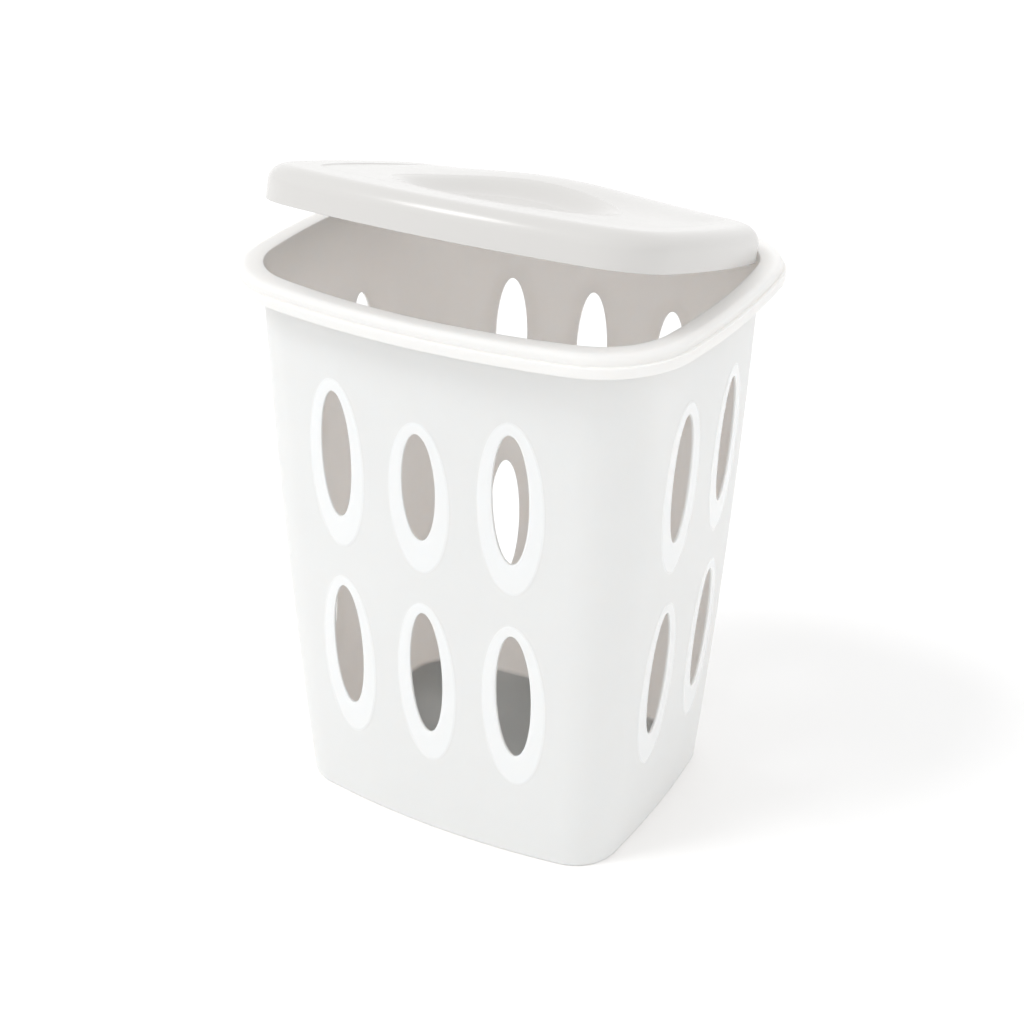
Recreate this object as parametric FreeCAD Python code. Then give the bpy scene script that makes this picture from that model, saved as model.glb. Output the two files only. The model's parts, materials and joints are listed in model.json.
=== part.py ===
import FreeCAD, Part
import math
import os

# Laundry hamper with a hinged drop-in lid, in millimetres.
# Origin: centre of the base, on the floor. +Z up, +X along the long side, -Y is the front.
# The lid is drawn closed and then turned to its rest position, standing slightly open.

# ---- driving dimensions: plan of the body ----
RIM_Z = 540.0            # top of the rim
TOP_HALF_X = 200.5       # inside edge of the rim, middle of a short side
TOP_HALF_Y = 168.1       # inside edge of the rim, middle of a long side
TOP_BOW_X = 19.6         # how far a short side bows out
TOP_BOW_Y = 34.5         # how far a long side bows out
TOP_CORNER_R = 68.4
BASE_HALF_X = 170.9      # outside of the base
BASE_HALF_Y = 140.1
BASE_BOW_X = 9.0
BASE_BOW_Y = 18.9
BASE_CORNER_R = 45.4
BELLY = 4.1              # the walls stand this far proud of straight at mid height
WALL = 2.0
FLOOR = 2.4
FOOT_R = 2.0             # rounding where the wall meets the floor

# ---- rim: a rolled edge with a lower lip, hollow below ----
BEAD_OUT = 19.5          # bead's outer face, measured out from the rim's inside edge
BEAD_R = 6.0
LIP_OUT = 22.5
LIP_TOP_Z = 530.5
LIP_BOTTOM_Z = 521.0
LIP_R = 0.8
RIM_WALL = 2.0

# ---- oval holes and their raised surrounds ----
FRONT_COLUMNS = (-88.0, 0.0, 88.0)
SIDE_COLUMNS = (-47.5, 47.5)
HOLE_HALF_W = 17.0
RING_HALF_W = 30.0
RING_PROUD = 0.6
# each row: hole bottom, hole top, surround bottom, surround top
UPPER_ROW = (325.0, 450.0, 294.5, 461.5)
UPPER_SHORT = (327.0, 432.0, 294.5, 442.5)
LOWER_ROW = (118.0, 251.0, 85.5, 261.0)

# ---- lid, closed ----
LID_GAP = 2.0            # all round, between the skirt and the rim's inside edge
SKIRT_BOTTOM_Z = 521.0
LID_TOP_Z = 553.0
SHOULDER_R = 16.0
LID_WALL = 2.0
PANEL_IN = 18.0          # the sunken panel starts this far in from the skirt
PANEL_DROP = 0.9
PANEL_COLUMNS = 51       # points that the panel's surface passes through, across and along
PANEL_ROWS = 61
CROWN_RISE = 13.5
CROWN_SPREAD_X = 120.0
CROWN_PEAK_Y = 80.0
CROWN_SPREAD_Y = 60.0
CROWN_FALL = 30.0        # the crown drops to the panel's back and side edges over this distance
SCOOP_DEPTH = 11.0
SCOOP_CENTRE_Y = -27.0
SCOOP_HALF_X = 107.0
SCOOP_HALF_Y = 73.0
SCOOP_WALL = 0.36        # share of the scoop's half size that its sloping wall takes

# ---- hinge ----
HINGE_Y = 167.0
HINGE_Z = 544.7
BARREL_R = 4.3
BARREL_HALF_X = 128.0
WEB_REACH = 28.0         # flat web between the barrel and the lid's curved shoulder
WEB_OVERLAP = 11.0       # how far the web runs into the shoulder
EAR_GAP = 0.4
EAR_THICK = 8.0
PIN_R = 2.0
PIN_CLEARANCE = 0.05
PIN_IN_BARREL = 22.0
PIN_HEAD_R = 3.4
PIN_HEAD_T = 1.6
REST_OPENING = 14.8      # degrees, lid's rest position above closed

VEC = FreeCAD.Vector
UP = VEC(0, 0, 1)


def polar(cx, cy, radius, angle):
    """A point on a circle in plan."""
    return (cx + radius * math.cos(angle), cy + radius * math.sin(angle))


def plan_wire(half_x, half_y, bow_x, bow_y, corner_r, z):
    """Closed plan outline at height z: four bowed sides joined by tangent corner arcs."""
    long_r = (half_x ** 2 + bow_y ** 2) / (2 * bow_y)
    short_r = (half_y ** 2 + bow_x ** 2) / (2 * bow_x)
    long_c = half_y - long_r
    short_c = half_x - short_r
    # corner centre: where circles of radius long_r - r and short_r - r cross
    ra = long_r - corner_r
    rb = short_r - corner_r
    gap = math.hypot(short_c, long_c)
    along = (ra ** 2 - rb ** 2 + gap ** 2) / (2 * gap)
    off = math.sqrt(ra ** 2 - along ** 2)
    ux, uy = short_c / gap, -long_c / gap
    corner_x = along * ux - off * uy
    corner_y = long_c + along * uy + off * ux
    if corner_x < 0 or corner_y < 0:
        corner_x = along * ux + off * uy
        corner_y = long_c + along * uy - off * ux
    long_a = math.atan2(corner_y - long_c, corner_x)
    short_a = math.atan2(corner_y, corner_x - short_c)
    quarter = math.pi / 2

    def turned(point, sx, sy):
        return VEC(point[0] * sx, point[1] * sy, z)

    edges = []
    for sx, sy in ((1, -1), (1, 1), (-1, 1), (-1, -1)):
        side = [polar(short_c, 0, short_r, short_a * f) for f in (0.0, 0.5, 1.0)]
        corner = [polar(corner_x, corner_y, corner_r, short_a + (long_a - short_a) * f)
                  for f in (0.0, 0.5, 1.0)]
        front = [polar(0, long_c, long_r, long_a + (quarter - long_a) * f) for f in (0.0, 0.5, 1.0)]
        run = [side, corner, front]
        if sx * sy < 0:
            run = [list(reversed(piece)) for piece in reversed(run)]
        for piece in run:
            edges.append(Part.Arc(*[turned(p, sx, sy) for p in piece]).toShape())
    return Part.Wire(edges)


def rim_wire(out, z):
    """Outline parallel to the rim's inside edge, moved outwards by out."""
    return plan_wire(TOP_HALF_X + out, TOP_HALF_Y + out, TOP_BOW_X, TOP_BOW_Y, TOP_CORNER_R + out, z)


def rim_prism(out, z_low, z_high):
    """Upright solid on an outline parallel to the rim."""
    return Part.Face(rim_wire(out, z_low)).extrude(VEC(0, 0, z_high - z_low))


def round_edges_at(solid, z, radius):
    """Round the edges that lie in the plane at height z."""
    edges = [e for e in solid.Edges if all(abs(v.Z - z) < 1e-6 for v in e.Vertexes)]
    return solid.makeFillet(radius, edges)


def body_section(z, out):
    """Body outline at height z, moved outwards by out; the walls swell by BELLY at mid height."""
    t = z / RIM_Z
    swell = BELLY * 4 * t * (1 - t) + out

    def mix(low, high):
        return low + (high - low) * t

    return plan_wire(mix(BASE_HALF_X, TOP_HALF_X + WALL) + swell,
                     mix(BASE_HALF_Y, TOP_HALF_Y + WALL) + swell,
                     mix(BASE_BOW_X, TOP_BOW_X),
                     mix(BASE_BOW_Y, TOP_BOW_Y),
                     mix(BASE_CORNER_R, TOP_CORNER_R + WALL) + swell, z)


def body_solid(out, z_low, z_high):
    """Tapered body moved outwards by out, lofted through five sections."""
    levels = [z_low + (z_high - z_low) * i / 4 for i in range(5)]
    return Part.makeLoft([body_section(z, out) for z in levels], True, False)


def oval_prism(across, z_low, z_high, half_w, along_y, sign):
    """Upright oval pushed through one wall, along Y for the long walls and along X for the short."""
    half_h = (z_high - z_low) / 2
    mid = (z_high + z_low) / 2
    reach = 130.0
    start = 90.0
    ellipse = Part.Ellipse(VEC(0, 0, 0), half_h, half_w)
    face = Part.Face(Part.Wire(ellipse.toShape()))
    face.rotate(VEC(0, 0, 0), VEC(0, 1, 0), -90)
    solid = face.extrude(VEC(reach, 0, 0))
    if along_y:
        solid.rotate(VEC(0, 0, 0), UP, 90 * sign)
        solid.translate(VEC(across, start * sign, mid))
    else:
        if sign < 0:
            solid.rotate(VEC(0, 0, 0), UP, 180)
        solid.translate(VEC(start * sign, across, mid))
    return solid


def wall_ovals():
    """Every oval as (across, along_y, sign, row)."""
    ovals = []
    for sign in (-1, 1):
        for x in FRONT_COLUMNS:
            short = sign < 0 and x == 0
            ovals.append((x, True, sign, UPPER_SHORT if short else UPPER_ROW))
            ovals.append((x, True, sign, LOWER_ROW))
        for y in SIDE_COLUMNS:
            ovals.append((y, False, sign, UPPER_ROW))
            ovals.append((y, False, sign, LOWER_ROW))
    return ovals


def make_rim():
    """Rolled edge: bead with a rounded outer shoulder, a step out to the lower lip, open underneath."""
    bead = round_edges_at(rim_prism(BEAD_OUT, LIP_BOTTOM_Z, RIM_Z), RIM_Z, BEAD_R)
    lip = round_edges_at(rim_prism(LIP_OUT, LIP_BOTTOM_Z, LIP_TOP_Z), LIP_TOP_Z, LIP_R)
    under = LIP_BOTTOM_Z - 1
    bead_hollow = rim_prism(BEAD_OUT - RIM_WALL, under, RIM_Z - RIM_WALL)
    bead_hollow = round_edges_at(bead_hollow, RIM_Z - RIM_WALL, BEAD_R - RIM_WALL)
    lip_hollow = rim_prism(LIP_OUT - RIM_WALL, under, LIP_TOP_Z - RIM_WALL)
    return bead.fuse(lip).cut(bead_hollow).cut(lip_hollow)


def make_ear(sign):
    """Hinge ear on the back of the rim: a rounded post with the pin's hole through it."""
    x0 = BARREL_HALF_X + EAR_GAP if sign > 0 else -BARREL_HALF_X - EAR_GAP - EAR_THICK
    eye = Part.makeCylinder(BARREL_R, EAR_THICK, VEC(x0, HINGE_Y, HINGE_Z), VEC(1, 0, 0))
    foot_z = RIM_Z - RIM_WALL / 2
    post = Part.makeBox(EAR_THICK, 2 * BARREL_R, HINGE_Z - foot_z, VEC(x0, HINGE_Y - BARREL_R, foot_z))
    hole = Part.makeCylinder(PIN_R, EAR_THICK + 2, VEC(x0 - 1, HINGE_Y, HINGE_Z), VEC(1, 0, 0))
    return eye.fuse(post).cut(hole)


def make_tub():
    outer = body_solid(0.0, 0.0, RIM_Z)
    base_edges = [e for e in outer.Edges if all(abs(v.Z) < 1e-6 for v in e.Vertexes)]
    outer = outer.makeFillet(FOOT_R, base_edges)
    proud = body_solid(RING_PROUD, 0.0, RIM_Z)
    rings = []
    holes = []
    for across, along_y, sign, row in wall_ovals():
        hole_low, hole_high, ring_low, ring_high = row
        rings.append(oval_prism(across, ring_low, ring_high, RING_HALF_W, along_y, sign).common(proud))
        holes.append(oval_prism(across, hole_low, hole_high, HOLE_HALF_W, along_y, sign))
    tub = outer.fuse([make_rim()] + rings)
    tub = tub.cut(body_solid(-WALL, FLOOR, RIM_Z + 1))
    tub = tub.cut(holes)
    return tub.fuse([make_ear(1), make_ear(-1)]).removeSplitter()


def smooth_step(t):
    """Rise from 0 to 1 with level ends."""
    t = min(max(t, 0.0), 1.0)
    return t * t * (3 - 2 * t)


def long_side_y(out, x):
    """How far back the outline parallel to the rim's inside edge reaches at x."""
    half_x = TOP_HALF_X + out
    half_y = TOP_HALF_Y + out
    long_r = (half_x ** 2 + TOP_BOW_Y ** 2) / (2 * TOP_BOW_Y)
    return half_y - long_r + math.sqrt(long_r ** 2 - x ** 2)


def panel_height(x, y):
    """Height of the lid's panel: sunken plate, bell-shaped crown behind the middle, oval grip scoop."""
    border = -LID_GAP - PANEL_IN
    bell = math.exp(-(x / CROWN_SPREAD_X) ** 2 - ((y - CROWN_PEAK_Y) / CROWN_SPREAD_Y) ** 2)
    reach = min(abs(x), TOP_HALF_X + border)
    bell *= smooth_step((long_side_y(border, reach) - y) / CROWN_FALL)
    bell *= smooth_step((TOP_HALF_X + border - reach) / CROWN_FALL)
    r = math.hypot(x / SCOOP_HALF_X, (y - SCOOP_CENTRE_Y) / SCOOP_HALF_Y)
    dish = smooth_step((1 - r) / SCOOP_WALL)
    return LID_TOP_Z - PANEL_DROP + CROWN_RISE * bell - SCOOP_DEPTH * dish


def spaced(half, count):
    """Evenly spaced values from -half to half."""
    return [half * (2 * i / (count - 1) - 1) for i in range(count)]


def make_panel():
    """Lid panel: a smooth surface through the height formula, thickened downwards."""
    across = spaced(TOP_HALF_X, PANEL_COLUMNS)
    along = spaced(TOP_HALF_Y, PANEL_ROWS)
    surface = Part.BSplineSurface()
    surface.interpolate([[VEC(x, y, panel_height(x, y)) for y in along] for x in across])
    plate = surface.toShape().extrude(VEC(0, 0, -LID_WALL))
    inside = rim_prism(-LID_GAP - PANEL_IN + 1, SKIRT_BOTTOM_Z, LID_TOP_Z + 2 * CROWN_RISE)
    return plate.common(inside)


def make_lid():
    """Lid moulding, drawn closed: skirt, shoulder, panel and the hinge barrel on its web."""
    outer = round_edges_at(rim_prism(-LID_GAP, SKIRT_BOTTOM_Z, LID_TOP_Z), LID_TOP_Z, SHOULDER_R)
    inner_top = LID_TOP_Z - LID_WALL
    inner = rim_prism(-LID_GAP - LID_WALL, SKIRT_BOTTOM_Z - 1, inner_top)
    inner = round_edges_at(inner, inner_top, SHOULDER_R - LID_WALL)
    opening = rim_prism(-LID_GAP - PANEL_IN, SKIRT_BOTTOM_Z, LID_TOP_Z + 1)
    lid = outer.cut(inner).cut(opening)
    lid = lid.fuse(make_panel())
    barrel_end = VEC(-BARREL_HALF_X, HINGE_Y, HINGE_Z)
    barrel = Part.makeCylinder(BARREL_R, 2 * BARREL_HALF_X, barrel_end, VEC(1, 0, 0))
    web_front = HINGE_Y - WEB_REACH
    web_low = HINGE_Z + BARREL_R - LID_WALL
    web = Part.makeBox(2 * BARREL_HALF_X, WEB_REACH, LID_WALL, VEC(-BARREL_HALF_X, web_front, web_low))
    web = web.cut(rim_prism(-LID_GAP - WEB_OVERLAP, web_low - 1, LID_TOP_Z))
    lid = lid.fuse(barrel.fuse(web).cut(inner))
    for sign in (-1, 1):
        start = VEC(sign * (BARREL_HALF_X + 1), HINGE_Y, HINGE_Z)
        lid = lid.cut(Part.makeCylinder(PIN_R + PIN_CLEARANCE, PIN_IN_BARREL + 2, start, VEC(-sign, 0, 0)))
    return lid.removeSplitter()


def make_pin(sign):
    """Short headed pin, pushed in from outside through the ear."""
    outer_x = BARREL_HALF_X + EAR_GAP + EAR_THICK
    length = outer_x - (BARREL_HALF_X - PIN_IN_BARREL)
    start = VEC(sign * outer_x, HINGE_Y, HINGE_Z)
    shank = Part.makeCylinder(PIN_R, length, start, VEC(-sign, 0, 0))
    head = Part.makeCylinder(PIN_HEAD_R, PIN_HEAD_T, start, VEC(sign, 0, 0))
    return shank.fuse(head).removeSplitter()


def to_rest(shape):
    """Turn a closed-lid shape up to the rest position."""
    shape.rotate(VEC(0, HINGE_Y, HINGE_Z), VEC(1, 0, 0), -REST_OPENING)
    return shape


os.makedirs("parts", exist_ok=True)
NODES = {
    "tub": make_tub(),
    "lid": to_rest(make_lid()),
    "hinge_pin_left": make_pin(-1),
    "hinge_pin_right": make_pin(1),
}
for name, shape in NODES.items():
    box = shape.BoundBox
    print(name, shape.isValid(), len(shape.Solids), "solid(s)", round(shape.Volume / 1000, 2), "cm3",
          [round(v, 1) for v in (box.XMin, box.XMax, box.YMin, box.YMax, box.ZMin, box.ZMax)])
    shape.exportStep("parts/" + name + ".step")
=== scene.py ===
# %% [markdown]
# # A laundry hamper with a drop-in lid
#
# The real object is two polypropylene mouldings: a tapered tub with oval air holes and a rolled rim, and a
# shallow lid that hinges on two short pins at the back. The CAD frame fixes where everything is and how it
# moves. This script adds the looks: smooth moulded surfaces, the satin grain of the tub, and the glossier
# lid.

# %% Load the frame
import json
import math

import bmesh
import bpy
import numpy as np
from mathutils import Matrix, Vector


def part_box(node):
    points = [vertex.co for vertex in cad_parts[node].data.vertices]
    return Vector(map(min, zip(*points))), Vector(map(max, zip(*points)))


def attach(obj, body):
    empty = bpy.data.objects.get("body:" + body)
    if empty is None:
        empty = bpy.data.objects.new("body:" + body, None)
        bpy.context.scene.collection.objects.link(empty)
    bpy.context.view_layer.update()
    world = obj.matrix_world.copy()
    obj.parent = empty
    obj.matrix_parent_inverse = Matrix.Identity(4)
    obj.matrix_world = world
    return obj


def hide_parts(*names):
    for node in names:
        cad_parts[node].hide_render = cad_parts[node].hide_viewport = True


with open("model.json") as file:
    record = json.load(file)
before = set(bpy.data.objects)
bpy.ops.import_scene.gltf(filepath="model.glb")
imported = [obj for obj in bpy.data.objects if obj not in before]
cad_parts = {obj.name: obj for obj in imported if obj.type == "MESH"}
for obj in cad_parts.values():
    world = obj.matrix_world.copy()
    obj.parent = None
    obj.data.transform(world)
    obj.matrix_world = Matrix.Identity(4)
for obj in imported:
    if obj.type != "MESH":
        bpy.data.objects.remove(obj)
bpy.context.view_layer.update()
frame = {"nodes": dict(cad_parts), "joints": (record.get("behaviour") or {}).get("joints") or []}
tub_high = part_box("tub")[1]
HINGE_Y, HINGE_Z = frame["joints"][0]["pos_m"][1:]
closed_angle = math.radians(frame["joints"][0]["range_deg"][0])

# %% [markdown]
# ## The camera
#
# The camera stands in front, a little to the right and above, as someone looks at a hamper from across a
# bathroom. A long lens keeps the perspective gentle. Its place is worked out from an azimuth, an elevation
# and a distance, and then it is rolled by less than a degree.

# %% Camera
AZIMUTH = math.radians(28.85)
ELEVATION = math.radians(27.86)
ROLL = math.radians(0.87)
DISTANCE = 1.7776
LENS_MM = 65.26
AIM_HEIGHT = 0.270
AIM_RIGHT = 0.0022
AIM_UP = 0.0104


def add_camera():
    """Camera on a sphere round the aim point: back is the unit vector towards the camera, right and up span
    its view."""
    back = Vector((math.sin(AZIMUTH) * math.cos(ELEVATION), -math.cos(AZIMUTH) * math.cos(ELEVATION),
                   math.sin(ELEVATION)))
    right = Vector((math.cos(AZIMUTH), math.sin(AZIMUTH), 0))
    up = back.cross(right)
    rolled_right = right * math.cos(ROLL) + up * math.sin(ROLL)
    rolled_up = up * math.cos(ROLL) - right * math.sin(ROLL)
    place = back * DISTANCE + Vector((0, 0, AIM_HEIGHT)) + rolled_right * AIM_RIGHT + rolled_up * AIM_UP
    data = bpy.data.cameras.new("camera")
    data.lens = LENS_MM
    camera = bpy.data.objects.new("camera", data)
    turn = Matrix((rolled_right, rolled_up, back)).transposed()
    camera.matrix_world = Matrix.Translation(place) @ turn.to_4x4()
    bpy.context.scene.collection.objects.link(camera)
    bpy.context.scene.camera = camera
    return camera


camera = add_camera()
print("camera at", [round(v, 3) for v in camera.matrix_world.translation])

# %% [markdown]
# ## The studio
#
# White plastic on a pale floor is all about soft shading. Most of the light is an even white surround, as
# in a light tent, and the backdrop behind the hamper is lit brighter. The polished lid is seen at a low
# angle, so its top mirrors the backdrop and looks whiter than its skirt. One broad lamp from the front left
# adds direction. The plain Standard view keeps the whites clean.

# %% Lights and floor
WORLD_STRENGTH = 0.95
BACKDROP_STRENGTH = 1.15
KEY_FROM = (-0.70, -0.75, 1.35)
KEY_STRENGTH = 0.9
KEY_SOFTNESS = math.radians(20)
BACKDROP_EDGE = 0.35
BACKDROP_FULL = 0.85

key_data = bpy.data.lights.new("key", "SUN")
key_data.energy = KEY_STRENGTH
key_data.angle = KEY_SOFTNESS
key = bpy.data.objects.new("key", key_data)
key.matrix_world = Vector(KEY_FROM).to_track_quat("Z", "Y").to_matrix().to_4x4()
bpy.context.scene.collection.objects.link(key)

world = bpy.data.worlds.new("studio")
world.use_nodes = True
world_tree = world.node_tree
surround_light = world_tree.nodes["Background"]
surround_light.inputs["Color"].default_value = (1, 1, 1, 1)
direction = world_tree.nodes.new("ShaderNodeTexCoord").outputs["Generated"]
split = world_tree.nodes.new("ShaderNodeSeparateXYZ")
fade = world_tree.nodes.new("ShaderNodeMapRange")
fade.inputs["From Min"].default_value = BACKDROP_EDGE
fade.inputs["From Max"].default_value = BACKDROP_FULL
fade.inputs["To Min"].default_value = WORLD_STRENGTH
fade.inputs["To Max"].default_value = BACKDROP_STRENGTH
world_tree.links.new(direction, split.inputs["Vector"])
world_tree.links.new(split.outputs["Y"], fade.inputs["Value"])
world_tree.links.new(fade.outputs["Result"], surround_light.inputs["Strength"])
bpy.context.scene.world = world
bpy.context.scene.view_settings.view_transform = "Standard"

FLOOR_REACH = 30.0
floor_mesh = bpy.data.meshes.new("floor")
floor_mesh.from_pydata([(-FLOOR_REACH, -FLOOR_REACH, 0), (FLOOR_REACH, -FLOOR_REACH, 0),
                        (FLOOR_REACH, FLOOR_REACH, 0), (-FLOOR_REACH, FLOOR_REACH, 0)], [], [(0, 1, 2, 3)])
floor = bpy.data.objects.new("floor", floor_mesh)
bpy.context.scene.collection.objects.link(floor)

# %% [markdown]
# ## The outline every piece shares
#
# Seen from above, the tub, its rim and its lid have the same kind of outline: four gently bowed sides and
# four corner arcs, all tangent. It could be a superellipse, but a mould maker draws arcs, so arcs it is.
# One quarter is enough, because the other three are mirror images.

# %% Outline arcs
LIP_OUT = 0.0225
TOP_HALF_X = tub_high.x - LIP_OUT
TOP_HALF_Y = tub_high.y - LIP_OUT
TOP_BOW_X = 0.0196
TOP_BOW_Y = 0.0345
TOP_CORNER_R = 0.0684


def outline_arcs(half_x, half_y, bow_x, bow_y, corner_r):
    """A side that bows by b over a half length h is an arc of radius (h² + b²) / 2b. The corner's centre is
    where two circles cross: those of a long side and a short side, each with the corner's radius taken
    off."""
    long_r = (half_x**2 + bow_y**2) / (2 * bow_y)
    short_r = (half_y**2 + bow_x**2) / (2 * bow_x)
    long_c = half_y - long_r
    short_c = half_x - short_r
    ra = long_r - corner_r
    rb = short_r - corner_r
    gap = np.hypot(short_c, long_c)
    along = (ra**2 - rb**2 + gap**2) / (2 * gap)
    off = np.sqrt(ra**2 - along**2)
    corner_x = (along * short_c - off * long_c) / gap
    corner_y = long_c - (along * long_c + off * short_c) / gap
    return long_r, long_c, short_r, short_c, corner_r, corner_x, corner_y


def long_wall_y(arcs, x):
    """Height of the long side's arc at x: its centre plus the root of r² - x²."""
    return arcs[1] + np.sqrt(arcs[0] ** 2 - x**2)


def short_wall_x(arcs, y):
    """Reach of the short side's arc at y: its centre plus the root of r² - y²."""
    return arcs[3] + np.sqrt(arcs[2] ** 2 - y**2)


def corner_run(arcs, t, side_y, front_x):
    """From the point at side_y on the short side, round the corner, to the point at front_x on the long
    side. t from 0 to 1 is the share of the run's length: first the side arc, then the corner arc, then the
    long arc."""
    long_r, long_c, short_r, short_c, corner_r, corner_x, corner_y = arcs
    a0 = np.arcsin(side_y / short_r)
    a1 = np.arctan2(corner_y, corner_x - short_c)
    a2 = np.arctan2(corner_y - long_c, corner_x)
    a3 = np.arccos(front_x / long_r)
    l1 = short_r * (a1 - a0)
    l2 = corner_r * (a2 - a1)
    l3 = long_r * (a3 - a2)
    s = t * (l1 + l2 + l3)
    on_side = s < l1
    on_corner = s < l1 + l2
    angle = np.where(on_side, a0 + s / short_r,
                     np.where(on_corner, a1 + (s - l1) / corner_r, a2 + (s - l1 - l2) / long_r))
    radius = np.where(on_side, short_r, np.where(on_corner, corner_r, long_r))
    cx = np.where(on_side, short_c, np.where(on_corner, corner_x, 0))
    cy = np.where(on_side, 0, np.where(on_corner, corner_y, long_c))
    return cx + radius * np.cos(angle), cy + radius * np.sin(angle)


# %% [markdown]
# ## One loop of points for every level
#
# Walls, rim and lid are rings of points stacked in height. If every ring has its points at the same places
# along the outline, neighbouring pieces share their edges and merge into one skin. The long sides are
# divided at the borders of the hole panels, the short sides likewise, and the corners by length.

# %% Ring of points
LONG_BREAKS = (-0.126, -0.044, 0.044, 0.126)
SHORT_BREAKS = (-0.086, 0.0, 0.086)
PANEL_STEPS = 16
CORNER_STEPS = 18


def stepped(breaks):
    """The breaks, each gap divided into PANEL_STEPS equal steps, without the last point."""
    gaps = zip(breaks, breaks[1:])
    return np.concatenate([np.linspace(a, b, PANEL_STEPS, endpoint=False) for a, b in gaps])


def ring(arcs):
    """Closed loop of the outline, counter-clockwise from the right side's front end. Arcs may be single
    numbers or columns, one row for each level."""
    side = stepped(SHORT_BREAKS)
    front = stepped(LONG_BREAKS)
    t = np.linspace(0, 1, CORNER_STEPS, endpoint=False)
    corner_x, corner_y = corner_run(arcs, t, SHORT_BREAKS[-1], LONG_BREAKS[-1])
    back_x, back_y = corner_run(arcs, 1 - t, SHORT_BREAKS[-1], LONG_BREAKS[-1])
    side_x = short_wall_x(arcs, side)
    front_y = long_wall_y(arcs, front)
    side_y = side + 0 * side_x
    front_x = front + 0 * front_y
    x = np.concatenate([side_x, corner_x, -front_x, -back_x, -side_x, -corner_x, front_x, back_x], axis=-1)
    y = np.concatenate([side_y, corner_y, front_y, back_y, -side_y, -corner_y, -front_y, -back_y], axis=-1)
    return x, y


def rim_arcs(out):
    """Arcs of the rim's inside edge moved outwards by out."""
    return outline_arcs(TOP_HALF_X + out, TOP_HALF_Y + out, TOP_BOW_X, TOP_BOW_Y, TOP_CORNER_R + out)


def rim_rings(profile):
    """Rings for a profile given as rows of (distance out from the rim's inside edge, height)."""
    profile = np.array(profile)
    x, y = ring(rim_arcs(profile[:, :1]))
    return np.stack([x, y, np.broadcast_to(profile[:, 1:], x.shape)], axis=-1)


around = ring(rim_arcs(0.0))[0].size
print("points round each ring:", around)

# %% [markdown]
# ## A skin made of patches
#
# Each piece is gathered as rectangular patches of points. Patches that share an edge repeat its points, and
# the merge at the end sews them together. An attribute travels with the points: how much a place belongs to
# the smooth surround of a hole.

# %% Skin helper
MERGE = 1e-6


class Skin:
    """Patches of points, joined into one closed mesh."""

    def __init__(self):
        self.points = []
        self.smooth = []
        self.faces = []
        self.count = 0

    def patch(self, grid, closed=False, smooth=0.0):
        """Add a grid of points (rows, columns, 3); closed joins the last column to the first."""
        rows, columns = grid.shape[:2]
        index = np.arange(rows * columns).reshape(rows, columns) + self.count
        right = np.roll(index, -1, axis=1)
        if not closed:
            index, right = index[:, :-1], right[:, :-1]
        quads = np.stack([index[:-1], right[:-1], right[1:], index[1:]], axis=-1)
        self.faces.append(quads.reshape(-1, 4))
        self.points.append(grid.reshape(-1, 3))
        self.smooth.append((np.zeros((rows, columns)) + smooth).ravel())
        self.count += rows * columns

    def cap(self, loop, height_at, levels):
        """Close a ring with rings shrunk towards the centre, at heights that height_at gives."""
        shrink = np.linspace(1, 0, levels)[:, None]
        x = loop[None, :, 0] * shrink
        y = loop[None, :, 1] * shrink
        self.patch(np.stack([x, y, height_at(x, y)], axis=-1), closed=True)

    def build(self, name, material, sharp_degrees=32):
        """Merge the patches, face every quad outwards and shade smooth, with creases past the given
        angle."""
        mesh = bpy.data.meshes.new(name)
        points = np.concatenate(self.points)
        mesh.from_pydata(points.tolist(), [], np.concatenate(self.faces).tolist())
        layer = mesh.attributes.new("surround", "FLOAT", "POINT")
        layer.data.foreach_set("value", np.concatenate(self.smooth).astype(np.float32))
        work = bmesh.new()
        work.from_mesh(mesh)
        bmesh.ops.remove_doubles(work, verts=work.verts, dist=MERGE)
        bmesh.ops.dissolve_degenerate(work, edges=work.edges, dist=MERGE)
        bmesh.ops.recalc_face_normals(work, faces=work.faces)
        open_edges = sum(not e.is_manifold for e in work.edges)
        volume = work.calc_volume(signed=True)
        work.to_mesh(mesh)
        work.free()
        mesh.shade_smooth()
        mesh.set_sharp_from_angle(angle=math.radians(sharp_degrees))
        mesh.materials.append(material)
        piece = bpy.data.objects.new(name, mesh)
        bpy.context.scene.collection.objects.link(piece)
        print(name, len(mesh.polygons), "faces,", open_edges, "open edges,", round(volume * 1e6, 1), "cm3")
        return piece


# %% [markdown]
# ## Plastic
#
# The tub has the fine satin grain that a spark-eroded mould leaves, so that scratches don't show. Round the
# holes the mould is polished, and the surrounds look whiter. The lid is polished all over; its colour is a
# grey darker than the tub's white, painted shade that darkens its skirt. All are one procedural recipe: a
# little cloudiness in the colour, uneven roughness, and a bump from fine noise. Thin polypropylene lets
# light through, so the inside of the tub is lit through its walls.

# %% Material recipe
GLOW_REACH = 0.02
GLOW_TINT = (1.0, 0.80, 0.70)


def noise(tree, coords, scale, detail):
    """A noise texture on the object's own coordinates."""
    node = tree.nodes.new("ShaderNodeTexNoise")
    node.inputs["Scale"].default_value = scale
    node.inputs["Detail"].default_value = detail
    tree.links.new(coords, node.inputs["Vector"])
    return node.outputs["Fac"]


def spread(tree, value, low, high):
    """Stretch a 0 to 1 value to the range from low to high."""
    node = tree.nodes.new("ShaderNodeMapRange")
    node.inputs["To Min"].default_value = low
    node.inputs["To Max"].default_value = high
    tree.links.new(value, node.inputs["Value"])
    return node.outputs["Result"]


def blend_values(tree, factor, a, b):
    """Mix two numbers or two sockets by a factor socket."""
    node = tree.nodes.new("ShaderNodeMix")
    tree.links.new(factor, node.inputs["Factor"])
    for name, value in (("A", a), ("B", b)):
        if isinstance(value, bpy.types.NodeSocket):
            tree.links.new(value, node.inputs[name])
        else:
            node.inputs[name].default_value = value
    return node.outputs["Result"]


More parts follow.
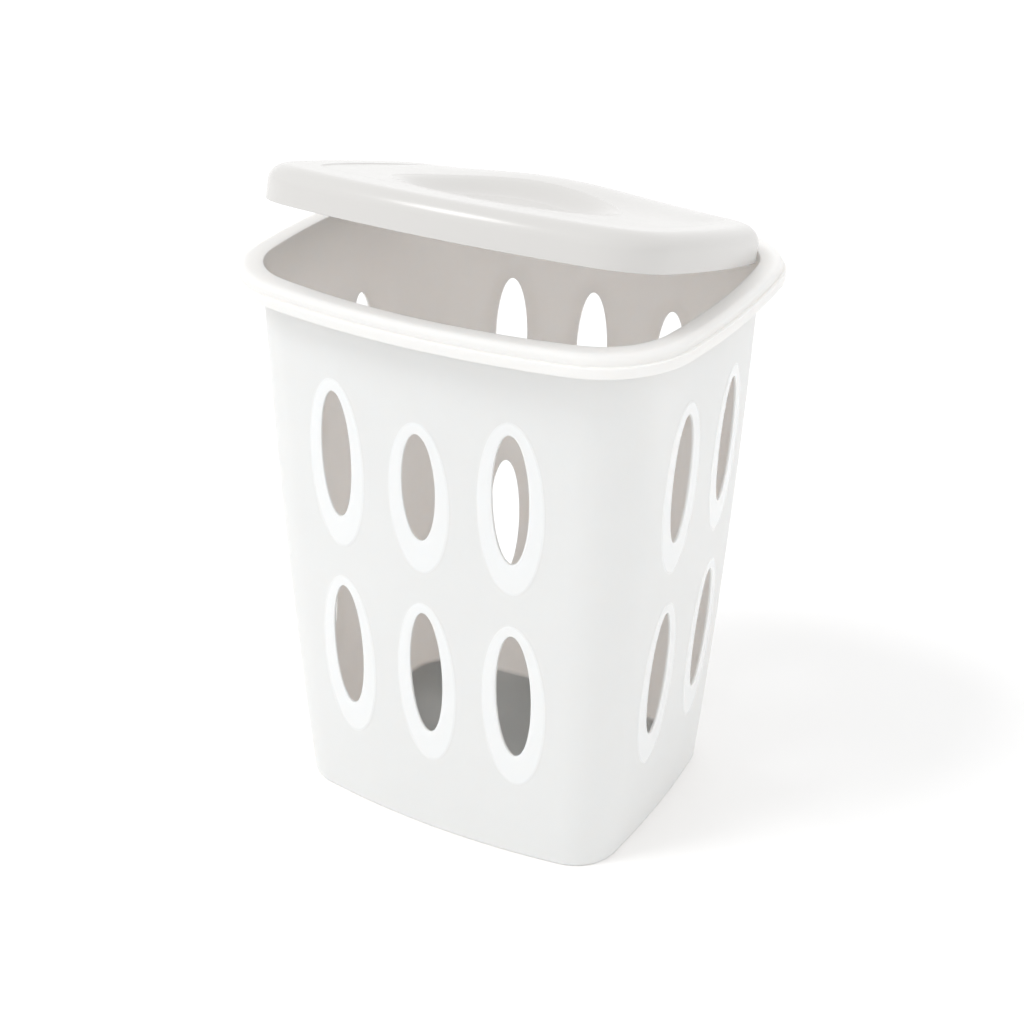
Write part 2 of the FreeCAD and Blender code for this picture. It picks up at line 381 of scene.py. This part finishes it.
def plastic(name, colour, roughness, grain_height, grain_scale, cloud=0.02, surround=None, glow=0.0):
    """Moulded plastic. colour is varied by a slow noise of the given cloud; roughness wanders by a tenth;
    the bump is a fine grain. surround=(colour, roughness) is the polished finish where the surround
    attribute is 1. glow is the share of light that sinks into the thin wall and comes out elsewhere."""
    material = bpy.data.materials.new(name)
    material.use_nodes = True
    tree = material.node_tree
    shader = tree.nodes["Principled BSDF"]
    coords = tree.nodes.new("ShaderNodeTexCoord").outputs["Object"]
    slow = noise(tree, coords, 7.0, 3.0)
    ramp = tree.nodes.new("ShaderNodeMix")
    ramp.data_type = "RGBA"
    dark = [c * (1 - cloud) for c in colour]
    light = [min(c * (1 + cloud), 1.0) for c in colour]
    ramp.inputs[6].default_value = (*dark, 1)
    ramp.inputs[7].default_value = (*light, 1)
    tree.links.new(slow, ramp.inputs["Factor"])
    base = ramp.outputs[2]
    rough = spread(tree, noise(tree, coords, 45.0, 4.0), roughness * 0.9, roughness * 1.1)
    grain = noise(tree, coords, grain_scale, 2.0)
    height = spread(tree, grain, 0.0, grain_height)
    if surround:
        mask = tree.nodes.new("ShaderNodeAttribute")
        mask.attribute_name = "surround"
        polished = tree.nodes.new("ShaderNodeMix")
        polished.data_type = "RGBA"
        tree.links.new(mask.outputs["Fac"], polished.inputs["Factor"])
        tree.links.new(base, polished.inputs[6])
        polished.inputs[7].default_value = (*surround[0], 1)
        base = polished.outputs[2]
        rough = blend_values(tree, mask.outputs["Fac"], rough, surround[1])
        height = blend_values(tree, mask.outputs["Fac"], height, 0.0)
    bump = tree.nodes.new("ShaderNodeBump")
    bump.inputs["Strength"].default_value = 1.0
    bump.inputs["Distance"].default_value = 1.0
    tree.links.new(height, bump.inputs["Height"])
    tree.links.new(base, shader.inputs["Base Color"])
    tree.links.new(rough, shader.inputs["Roughness"])
    tree.links.new(bump.outputs["Normal"], shader.inputs["Normal"])
    shader.inputs["IOR"].default_value = 1.49
    shader.inputs["Subsurface Weight"].default_value = glow
    shader.inputs["Subsurface Radius"].default_value = GLOW_TINT
    shader.inputs["Subsurface Scale"].default_value = GLOW_REACH
    return material


tub_plastic = plastic("tub_plastic", (0.875, 0.855, 0.828), 0.48, 0.00006, 900.0, glow=0.5,
                      surround=((0.965, 0.95, 0.93), 0.26))
# painted shade: the lid's base colour is a grey darker than the tub's white, so that its skirt looks shaded
lid_plastic = plastic("lid_plastic", (0.63, 0.62, 0.605), 0.22, 0.00001, 500.0, glow=0.0)
pin_plastic = plastic("pin_plastic", (0.80, 0.79, 0.78), 0.40, 0.00001, 700.0, glow=0.3)
floor_paint = plastic("floor_paint", (0.96, 0.96, 0.96), 0.8, 0.0, 10.0, cloud=0.0)
floor.data.materials.append(floor_paint)

# %% [markdown]
# ## The tub's walls
#
# The body tapers to the floor and its walls swell by a few millimetres at mid height, which stiffens thin
# plastic. A section at any height is the outline with its numbers mixed between base and rim. The inside
# wall is the same surface moved in by the wall's thickness.

# %% Body sections
RIM_Z = 0.540
BASE_HALF_X = 0.1709
BASE_HALF_Y = 0.1401
BASE_BOW_X = 0.0090
BASE_BOW_Y = 0.0189
BASE_CORNER_R = 0.0454
BELLY = 0.0041
WALL = 0.0020
FLOOR_THICK = 0.0024
FOOT_R = 0.0020


def body_arcs(z, out):
    """Arcs of the wall at height z, moved outwards by out: straight from base to rim plus a belly of 4t(1 -
    t)."""
    t = z / RIM_Z
    swell = BELLY * 4 * t * (1 - t) + out
    return outline_arcs(BASE_HALF_X + (TOP_HALF_X + WALL - BASE_HALF_X) * t + swell,
                        BASE_HALF_Y + (TOP_HALF_Y + WALL - BASE_HALF_Y) * t + swell,
                        BASE_BOW_X + (TOP_BOW_X - BASE_BOW_X) * t,
                        BASE_BOW_Y + (TOP_BOW_Y - BASE_BOW_Y) * t,
                        BASE_CORNER_R + (TOP_CORNER_R + WALL - BASE_CORNER_R) * t + swell)


def body_rings(z, out):
    """Full rings of the wall at heights z, moved outwards by out."""
    z = np.asarray(z, float)[:, None]
    out = np.asarray(out, float) + 0 * z
    x, y = ring(body_arcs(z, out))
    return np.stack([x, y, np.broadcast_to(z, x.shape)], axis=-1)


def on_long_wall(x, z, out, sign):
    """Points of a long wall over x and z."""
    return np.stack([x, sign * long_wall_y(body_arcs(z, out), x), z], axis=-1)


def on_short_wall(y, z, out, sign):
    """Points of a short wall over y and z."""
    return np.stack([sign * short_wall_x(body_arcs(z, out), y), y, z], axis=-1)


# %% [markdown]
# ## The oval holes
#
# Each hole sits in a rectangular panel of wall. A boolean cut would leave ragged triangles, so the panel is
# a web of rings instead: the innermost ring is the hole, a later one is the edge of the raised surround,
# and the outermost is the panel's own rectangle, which meets its neighbours point for point.

# %% Hole panels
ROW_BREAKS = (0.070, 0.278, 0.476)
ROW_STEPS = 28
HOLE_HALF_W = 0.0170
SURROUND_HALF_W = 0.0300
SURROUND_PROUD = 0.0006
SURROUND_RAMP = 0.0009
EDGE_R = 0.0006
FRONT_COLUMNS = (-0.088, 0.0, 0.088)
SIDE_COLUMNS = (-0.0475, 0.0475)
# each row: hole bottom and top, surround bottom and top
LOWER_ROW = (0.118, 0.251, 0.0855, 0.261)
UPPER_ROW = (0.325, 0.450, 0.2945, 0.4615)
UPPER_SHORT = (0.327, 0.432, 0.2945, 0.4425)


def rectangle(u0, u1, z0, z1):
    """Closed loop of panel border points, counter-clockwise from the lower left, with the shared step
    counts."""
    u = np.linspace(u0, u1, PANEL_STEPS + 1)
    z = np.linspace(z0, z1, ROW_STEPS + 1)
    us = np.concatenate([u[:-1], np.full(ROW_STEPS, u1), u[:0:-1], np.full(ROW_STEPS, u0)])
    zs = np.concatenate([np.full(PANEL_STEPS, z0), z[:-1], np.full(PANEL_STEPS, z1), z[:0:-1]])
    return us, zs


def oval(angle, mid_u, low, high, half_w):
    """Ellipse points: half width times the cosine, half height times the sine."""
    return mid_u + half_w * np.cos(angle), (low + high) / 2 + (high - low) / 2 * np.sin(angle)


def hole_rings(mid_u, row, u0, u1, z0, z1):
    """Rings from the hole's edge to the panel's border, with how far each stands proud and its surround
    value. Every ring uses the same angles, those of the border's points seen from the surround's middle."""
    hole_low, hole_high, low, high = row
    border_u, border_z = rectangle(u0, u1, z0, z1)
    angle = np.arctan2((border_z - (low + high) / 2) / (high - low),
                       (border_u - mid_u) / (2 * SURROUND_HALF_W))
    hole = np.stack(oval(angle, mid_u, hole_low, hole_high, HOLE_HALF_W), axis=-1)
    edge = np.stack(oval(angle, mid_u, low, high, SURROUND_HALF_W), axis=-1)
    outside = np.stack(oval(angle, mid_u, low - SURROUND_RAMP, high + SURROUND_RAMP,
                            SURROUND_HALF_W + SURROUND_RAMP), axis=-1)
    border = np.stack([border_u, border_z], axis=-1)
    loops = [hole + (edge - hole) * f for f in (0.0, 0.03, 0.06, 0.3, 0.6, 0.88, 0.96, 1.0)]
    proud = [SURROUND_PROUD - EDGE_R, SURROUND_PROUD - 0.3 * EDGE_R]
    proud += [SURROUND_PROUD] * 5 + [SURROUND_PROUD * 0.75]
    value = [1.0] * 8
    loops += [outside + (border - outside) * f for f in (0.0, 0.12, 0.35, 0.65, 1.0)]
    proud += [0.0] * 5
    value += [0.0] * 5
    return np.stack(loops), np.array(proud)[:, None], np.array(value)[:, None]


def add_hole_panel(skin, place, sign, mid_u, row, u0, u1, z0, z1):
    """Outside of the panel, the hole's edge through the wall, and the inside of the panel."""
    loops, proud, value = hole_rings(mid_u, row, u0, u1, z0, z1)
    u, z = loops[..., 0], loops[..., 1]
    outside = place(u, z, proud + 0 * u, sign)
    inside = place(u, z, -WALL + 0 * u, sign)
    skin.patch(outside, closed=True, smooth=value)
    skin.patch(inside[::-1], closed=True)
    skin.patch(np.stack([inside[0], outside[0]]), closed=True, smooth=np.array([[0.0], [1.0]]))


def add_walls(skin):
    """All 20 hole panels and the four corners beside them; the plain bands above and below come with the
    rim and the floor.
    """
    for row_index, (z0, z1) in enumerate(zip(ROW_BREAKS, ROW_BREAKS[1:])):
        for sign in (-1, 1):
            for mid, u0, u1 in zip(FRONT_COLUMNS, LONG_BREAKS, LONG_BREAKS[1:]):
                short = row_index == 1 and sign < 0 and mid == 0
                row = (LOWER_ROW, UPPER_SHORT if short else UPPER_ROW)[row_index]
                add_hole_panel(skin, on_long_wall, sign, mid, row, u0, u1, z0, z1)
            for mid, u0, u1 in zip(SIDE_COLUMNS, SHORT_BREAKS, SHORT_BREAKS[1:]):
                row = (LOWER_ROW, UPPER_ROW)[row_index]
                add_hole_panel(skin, on_short_wall, sign, mid, row, u0, u1, z0, z1)
        z = np.linspace(z0, z1, ROW_STEPS + 1)[:, None]
        t = np.linspace(0, 1, CORNER_STEPS + 1)
        for out in (0.0, -WALL):
            x, y = corner_run(body_arcs(z, out), t, SHORT_BREAKS[-1], LONG_BREAKS[-1])
            for sx in (-1, 1):
                for sy in (-1, 1):
                    skin.patch(np.stack([sx * x, sy * y, z + 0 * x], axis=-1))


# %% [markdown]
# ## Rim and floor
#
# The rim is rolled over and hollow underneath, with a step out to a lower lip: a hand carries the full
# hamper by it. Its section is a closed profile, carried round the outline. The small rounds are quarter
# circles.

# %% Rim profile
BEAD_OUT = 0.0195
BEAD_R = 0.0060
LIP_TOP_Z = 0.5305
LIP_BOTTOM_Z = 0.5210
RIM_WALL = 0.0020
SMALL_R = 0.0007
TOP_DIP = 0.0009
INNER_EDGE_OUT = 0.0012
INNER_EDGE_R = 0.0010
ROOF_R = 0.003
INNER_TOP_FALL = 0.004
FLOOR_FILLET_R = 0.004


def quarter(centre_out, centre_z, radius, start, stop, steps):
    """Arc points as (out, z) from start to stop degrees, measured from straight out."""
    angle = np.radians(np.linspace(start, stop, steps))
    return np.stack([centre_out + radius * np.cos(angle), centre_z + radius * np.sin(angle)], axis=-1)


def rim_profile():
    """From the inside edge over the top, round the bead, out to the lip, under it and back up to the
    roof."""
    dip = RIM_Z - TOP_DIP
    top = np.linspace(0, 1, 5)[1:, None]
    run_out = INNER_EDGE_OUT + (BEAD_OUT - BEAD_R - INNER_EDGE_OUT) * top
    run = np.hstack([run_out, dip + TOP_DIP * np.sin(top * math.pi / 2)])
    inner_bead = BEAD_OUT - RIM_WALL
    inner_lip = LIP_OUT - RIM_WALL
    roof = RIM_Z - RIM_WALL
    return np.concatenate([
        quarter(INNER_EDGE_OUT, dip - INNER_EDGE_R, INNER_EDGE_R, 180, 90, 5),
        run,
        quarter(BEAD_OUT - BEAD_R, RIM_Z - BEAD_R, BEAD_R, 90, 0, 9)[1:],
        quarter(BEAD_OUT + SMALL_R, LIP_TOP_Z + SMALL_R, SMALL_R, 180, 270, 3),
        quarter(LIP_OUT - SMALL_R, LIP_TOP_Z - SMALL_R, SMALL_R, 90, 0, 4),
        quarter(LIP_OUT - SMALL_R, LIP_BOTTOM_Z + SMALL_R, SMALL_R, 0, -90, 4),
        quarter(inner_lip + SMALL_R, LIP_BOTTOM_Z + SMALL_R, SMALL_R, -90, -180, 3),
        [(inner_lip, LIP_TOP_Z - RIM_WALL), (inner_bead, LIP_TOP_Z - RIM_WALL),
         (inner_bead, roof - ROOF_R)],
        quarter(inner_bead - ROOF_R, roof - ROOF_R, ROOF_R, 0, 90, 4)[1:],
    ])


def add_rim(skin):
    """The rim's rings, joined to the wall's outer top under the roof and to its inner top at the edge."""
    rings = rim_rings(rim_profile())
    roof = rings[-1, 0, 2]
    wall_top = body_rings([roof], 0.0)
    skin.patch(np.concatenate([rings, wall_top]), closed=True)
    inner_top = body_rings([rings[0, 0, 2] - INNER_TOP_FALL], -WALL)
    skin.patch(np.concatenate([inner_top, rings[:1]]), closed=True)
    low = ROW_BREAKS[-1]
    skin.patch(body_rings(np.linspace(low, roof, 7), 0.0), closed=True)
    skin.patch(body_rings(np.linspace(low, inner_top[0, 0, 2], 7), -WALL), closed=True)


def add_floor(skin):
    """Plain lower band, the rounded foot, and the two faces of the floor."""
    foot = quarter(-FOOT_R, FOOT_R, FOOT_R, 0, -90, 6)
    low_z = np.linspace(FOOT_R, ROW_BREAKS[0], 9)
    skin.patch(body_rings(low_z, 0.0), closed=True)
    skin.patch(body_rings(foot[:, 1], foot[:, :1]), closed=True)
    bottom = body_rings([0.0], -FOOT_R)[0]
    skin.cap(bottom, lambda x, y: 0 * x, 14)
    curve = quarter(-WALL - FLOOR_FILLET_R, FLOOR_THICK + FLOOR_FILLET_R, FLOOR_FILLET_R, 0, -90, 6)
    skin.patch(body_rings(np.linspace(FLOOR_THICK + FLOOR_FILLET_R, ROW_BREAKS[0], 9), -WALL), closed=True)
    skin.patch(body_rings(curve[:, 1], curve[:, :1]), closed=True)
    floor_loop = body_rings([FLOOR_THICK], -WALL - FLOOR_FILLET_R)[0]
    skin.cap(floor_loop, lambda x, y: FLOOR_THICK + 0 * x, 14)


tub_skin = Skin()
add_walls(tub_skin)
add_rim(tub_skin)
add_floor(tub_skin)
tub = tub_skin.build("tub_shell", tub_plastic)
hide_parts("tub")
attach(tub, "tub")

# %% [markdown]
# ## The lid
#
# The lid drops into the rim with a couple of millimetres to spare. From the edge inwards it has a skirt, a
# wide round shoulder and an apron, broad in front. Inside that lies a panel a hair lower. In its middle an
# oval scoop takes the fingers, and behind the scoop the panel swells into a crown. The panel is a height
# over x and y, which bell curves and smooth steps describe well.

# %% Lid shape
LID_GAP = 0.0020
SKIRT_BOTTOM_Z = 0.521
LID_TOP_Z = 0.553
SHOULDER_R = 0.0160
LID_WALL = 0.0020
LID_EDGE_R = 0.0006
SKIRT_FLAT = 0.012
BORDER_IN = 0.0330
BORDER_FRONT_Y = 0.112
BORDER_BACK_Y = 0.146
BORDER_STEP = 0.0014
PANEL_DROP = 0.0009
CROWN_RISE = 0.0135
CROWN_SPREAD_X = 0.120
CROWN_PEAK_Y = 0.080
CROWN_SPREAD_Y = 0.060
CROWN_FALL = 0.030
SCOOP_DEPTH = 0.0110
SCOOP_CENTRE_Y = -0.027
SCOOP_HALF_X = 0.107
SCOOP_HALF_Y = 0.073
SCOOP_WALL = 0.36
SCOOP_BEAD = 0.0005
SCOOP_BEAD_W = 0.014


def smooth_step(t):
    """Rise from 0 to 1 with level ends: 3t² - 2t³."""
    t = np.clip(t, 0, 1)
    return t * t * (3 - 2 * t)


def panel_height(x, y):
    """Plate, plus a bell-shaped crown that falls away at the panel's back and sides, less the scoop's dish,
    plus a thin bead along the scoop's edge."""
    bell = np.exp(-((x / CROWN_SPREAD_X) ** 2) - ((y - CROWN_PEAK_Y) / CROWN_SPREAD_Y) ** 2)
    bell = bell * smooth_step((BORDER_BACK_Y - y) / CROWN_FALL)
    bell = bell * smooth_step((TOP_HALF_X - BORDER_IN - np.abs(x)) / CROWN_FALL)
    r = np.hypot(x / SCOOP_HALF_X, (y - SCOOP_CENTRE_Y) / SCOOP_HALF_Y)
    dish = smooth_step((1 - r) / SCOOP_WALL)
    bead = np.exp(-(((r - 1) / SCOOP_BEAD_W) ** 2))
    return LID_TOP_Z - PANEL_DROP + CROWN_RISE * bell - SCOOP_DEPTH * dish + SCOOP_BEAD * bead


def turned_open(points):
    """Turn closed-lid points up about the hinge to the rest position."""
    c, s = math.cos(closed_angle), math.sin(closed_angle)
    y = points[..., 1] - HINGE_Y
    z = points[..., 2] - HINGE_Z
    return np.stack([points[..., 0], HINGE_Y + y * c - z * s, HINGE_Z + y * s + z * c], axis=-1)


# %% [markdown]
# ## Rings that follow the lid's own lines
#
# A crisp line on a smooth surface needs mesh edges along it. So the rings on the lid's top run from the
# shoulder to the panel's border, from there to the scoop's oval edge, and then into the scoop. Between two
# lines they are blended in equal steps.

# %% Lid mesh
APRON_LEVELS = 12
PANEL_LEVELS = 26


def lid_edge():
    """Lid section as (out, z): shoulder, skirt, its rounded edge, and back up inside. It starts at the
    apron."""
    edge = -LID_GAP
    inner = edge - LID_WALL
    return np.concatenate([
        quarter(edge - SHOULDER_R, LID_TOP_Z - SHOULDER_R, SHOULDER_R, 90, 0, 18),
        [(edge, SKIRT_BOTTOM_Z + SKIRT_FLAT)],
        quarter(edge - LID_EDGE_R, SKIRT_BOTTOM_Z + LID_EDGE_R, LID_EDGE_R, 0, -90, 4),
        quarter(inner + LID_EDGE_R, SKIRT_BOTTOM_Z + LID_EDGE_R, LID_EDGE_R, -90, -180, 4),
        quarter(edge - SHOULDER_R, LID_TOP_Z - SHOULDER_R, SHOULDER_R - LID_WALL, 0, 90, 12),
    ])


def border_loop(out):
    """The panel's border: the rim's outline moved in, with its front and back halves stretched to their
    places."""
    x, y = ring(rim_arcs(out))
    x, y = x.ravel(), y.ravel()
    half_y = y.max()
    shift = TOP_HALF_Y - BORDER_IN - half_y
    front = (BORDER_FRONT_Y - shift) / half_y
    back = (BORDER_BACK_Y - shift) / half_y
    return np.stack([x, y * np.where(y < 0, front, back)], axis=-1)


def oval_loop(like, scale):
    """The scoop's edge times scale, at the angles where the points of another loop lie."""
    angle = np.arctan2((like[:, 1] - SCOOP_CENTRE_Y) / SCOOP_HALF_Y, like[:, 0] / SCOOP_HALF_X)
    return np.stack([SCOOP_HALF_X * scale * np.cos(angle),
                     SCOOP_CENTRE_Y + SCOOP_HALF_Y * scale * np.sin(angle)], axis=-1)


def between(a, b, shares):
    """Loops blended from a to b."""
    shares = np.asarray(shares)[:, None, None]
    return a * (1 - shares) + b * shares


def lifted(loops, height):
    """Loops in plan given a height, a number or an array."""
    height = np.broadcast_to(np.asarray(height)[..., None], loops.shape[:2] + (1,))
    return np.concatenate([loops, height], axis=-1)


def add_lid_face(skin, start, sink):
    """Apron, border step, panel and scoop, from the ring start to the scoop's middle; sink lowers them
    all."""
    outside = border_loop(-BORDER_IN)
    inside = border_loop(-BORDER_IN - BORDER_STEP)
    apron = between(start[:, :2], outside, np.linspace(0, 1, APRON_LEVELS))
    skin.patch(lifted(apron, LID_TOP_Z - sink), closed=True)
    step = between(outside, inside, np.linspace(0, 1, 6))
    meet = panel_height(inside[:, 0], inside[:, 1]) - LID_TOP_Z
    fall = meet * smooth_step(np.linspace(0, 1, 6))[:, None]
    skin.patch(lifted(step, LID_TOP_Z - sink + fall), closed=True)
    edge = oval_loop(inside, 1.05)
    panel = between(inside, edge, np.linspace(0, 1, PANEL_LEVELS))
    skin.patch(lifted(panel, panel_height(panel[..., 0], panel[..., 1]) - sink), closed=True)
    scales = np.concatenate([np.linspace(1.05, 0.95, 13), np.linspace(0.93, 0.60, 16),
                             np.linspace(0.5, 0, 6)])
    bowl = np.stack([oval_loop(inside, scale) for scale in scales])
    skin.patch(lifted(bowl, panel_height(bowl[..., 0], bowl[..., 1]) - sink), closed=True)


def make_lid():
    """Edge section round the outline, the face on top and the same face one wall lower."""
    skin = Skin()
    rings = rim_rings(lid_edge())
    skin.patch(rings, closed=True)
    add_lid_face(skin, rings[0], 0.0)
    add_lid_face(skin, rings[-1], LID_WALL)
    skin.points = [turned_open(p) for p in skin.points]
    return skin.build("lid_shell", lid_plastic)


lid = make_lid()
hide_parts("lid")
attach(lid, "lid")

# %% [markdown]
# ## The hinge
#
# A straight barrel runs along the lid's back edge, and a web joins it to the curved shoulder. The tub's rim
# has an ear at each end of it. A short headed pin goes through each ear into the barrel's bore. A barrel is
# a profile turned about its axis, and an ear is a ring of points round its hole.

# %% Hinge barrel and ears
BARREL_R = 0.0043
BARREL_HALF_X = 0.128
BORE_R = 0.00205
BORE_DEPTH = 0.022
EAR_GAP = 0.0004
EAR_THICK = 0.0080
EDGE_ROUND = 0.0005
TURN_STEPS = 40
WEB_START_IN = 0.0088
WEB_THICK = LID_WALL - 0.0001
EAR_SINK = 0.001


def turned(profile, steps):
    """Surface of revolution about the hinge axis: each (radius, x) of the profile goes round in a
    circle."""
    profile = np.asarray(profile)
    angle = np.linspace(0, 2 * math.pi, steps, endpoint=False)
    x = np.broadcast_to(profile[:, 1:], (len(profile), steps))
    y = HINGE_Y + profile[:, :1] * np.cos(angle)
    z = HINGE_Z + profile[:, :1] * np.sin(angle)
    return np.stack([x, y, z], axis=-1)


def make_barrel():
    """The barrel with a bore in each end, and the flat web between it and the lid's shoulder."""
    half = [(0, BARREL_HALF_X - BORE_DEPTH), (BORE_R, BARREL_HALF_X - BORE_DEPTH), (BORE_R, BARREL_HALF_X),
            (BARREL_R - EDGE_ROUND, BARREL_HALF_X),
            (BARREL_R - 0.3 * EDGE_ROUND, BARREL_HALF_X - 0.3 * EDGE_ROUND),
            (BARREL_R, BARREL_HALF_X - EDGE_ROUND)]
    profile = half + [(r, -x) for r, x in reversed(half)]
    skin = Skin()
    skin.patch(turned(profile, TURN_STEPS), closed=True)
    x = np.linspace(-BARREL_HALF_X, BARREL_HALF_X, 33)
    front = long_wall_y(rim_arcs(-WEB_START_IN), x)
    low = HINGE_Z + BARREL_R - LID_WALL
    section = [(0, 0), (1, 0), (1, 1), (0, 1)]
    web = [np.stack([x, front + (HINGE_Y - front) * u, low + WEB_THICK * v + 0 * x], axis=-1)
           for u, v in section]
    web = np.stack(web, axis=1)
    skin.patch(web, closed=True)
    for end in (web[0], web[-1]):
        skin.patch(end[[0, 1, 3, 2]].reshape(2, 2, 3))
    skin.points = [turned_open(p) for p in skin.points]
    return skin.build("hinge_barrel", lid_plastic)


def ear_outline(steps, foot):
    """Half circle above the axis, straight sides down to the foot, and the foot, as (y, z) about the
    axis."""
    arc = np.linspace(0, math.pi, steps + 1)
    down = np.linspace(0, foot, steps // 2 + 1)[1:]
    along = np.linspace(-BARREL_R, BARREL_R, steps // 2 + 1)[1:]
    return np.concatenate([
        np.stack([BARREL_R * np.cos(arc), BARREL_R * np.sin(arc)], axis=-1),
        np.stack([0 * down - BARREL_R, -down], axis=-1),
        np.stack([along, 0 * along - foot], axis=-1),
        np.stack([0 * down + BARREL_R, down - foot], axis=-1)[:-1],
    ])


def make_ear(side):
    """Two flat cheeks with the pin's hole, joined round the outside and through the hole."""
    outline = ear_outline(16, HINGE_Z - RIM_Z + EAR_SINK)
    angle = np.arctan2(outline[:, 1], outline[:, 0])
    hole = BORE_R * np.stack([np.cos(angle), np.sin(angle)], axis=-1)
    near = BARREL_HALF_X + EAR_GAP
    far = near + EAR_THICK
    small = outline * (1 - 0.3 * EDGE_ROUND / BARREL_R)
    tight = outline * (1 - EDGE_ROUND / BARREL_R)
    stations = [(hole, near), (tight, near), (small, near + 0.3 * EDGE_ROUND), (outline, near + EDGE_ROUND),
                (outline, far - EDGE_ROUND), (small, far - 0.3 * EDGE_ROUND), (tight, far), (hole, far),
                (hole, near)]
    grid = [np.concatenate([np.full((len(loop), 1), side * x), loop + (HINGE_Y, HINGE_Z)], axis=1)
            for loop, x in stations]
    skin = Skin()
    skin.patch(np.stack(grid), closed=True)
    return skin.build("hinge_ear_" + ("right" if side > 0 else "left"), tub_plastic)


barrel = make_barrel()
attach(barrel, "lid")
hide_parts("lid")
for side in (-1, 1):
    ear = make_ear(side)
    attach(ear, "tub")
    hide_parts("tub")

# %% Hinge pins
for name in ("hinge_pin_left", "hinge_pin_right"):
    frame["nodes"][name].data.materials.clear()
    frame["nodes"][name].data.materials.append(pin_plastic)
